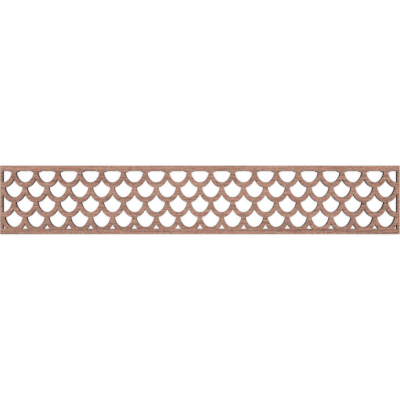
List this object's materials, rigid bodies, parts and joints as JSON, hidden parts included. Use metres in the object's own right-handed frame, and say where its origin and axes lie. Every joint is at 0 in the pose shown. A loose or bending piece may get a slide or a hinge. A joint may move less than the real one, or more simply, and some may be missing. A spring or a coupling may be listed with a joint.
{
  "type": "fretwork moulding",
  "caption": "Flat pierced wooden moulding strip: fish-scale fretwork between straight rails and narrow end stiles, cut from one sheet.",
  "frame": {"origin": "centre of the strip's back face, which lies on the floor", "axes": "+X along the strip, +Y across it from the tips of the scales towards the rail that they hang from, +Z out of the front face"},
  "size_m": [1.165, 0.2, 0.0095],
  "materials": {
    "wood": "matte"
  },
  "bodies": {
    "root": {"fretwork_panel": "wood"}
  },
  "joints": []
}
